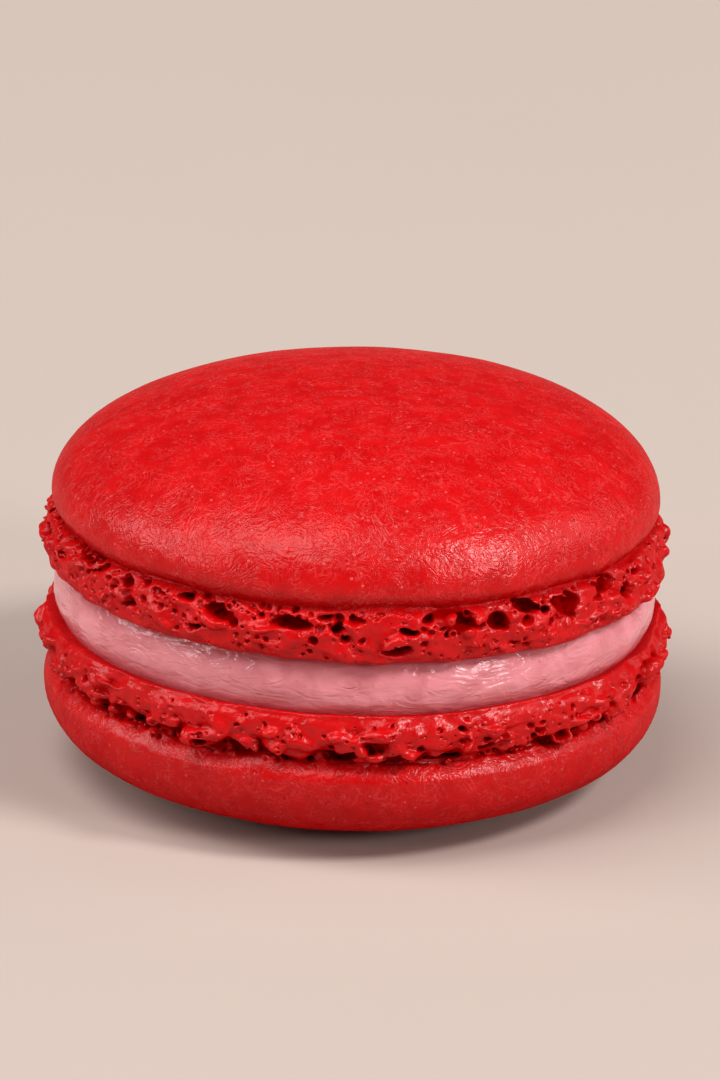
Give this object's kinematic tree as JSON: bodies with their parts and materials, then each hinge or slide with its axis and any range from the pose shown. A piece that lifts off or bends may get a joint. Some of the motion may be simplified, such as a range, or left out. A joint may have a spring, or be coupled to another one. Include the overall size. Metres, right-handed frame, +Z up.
{
  "type": "french macaron",
  "caption": "Round sandwich biscuit of domed baked almond shells with ruffled, pitted feet around a smooth band of buttercream; it rests on its lower dome.",
  "frame": {"origin": "middle of the macaron's outline, at the height of the surface it rests on", "axes": "+Z up through the stack of shell, filling and shell; -Y towards the viewer in the reference view, with +X to the right"},
  "size_m": [0.0468, 0.0468, 0.0289],
  "materials": {
    "baked_shell": "satin",
    "buttercream": "satin"
  },
  "bodies": {
    "root": {"shell_bottom": "baked_shell", "filling": "buttercream", "shell_top": "baked_shell"}
  },
  "joints": []
}
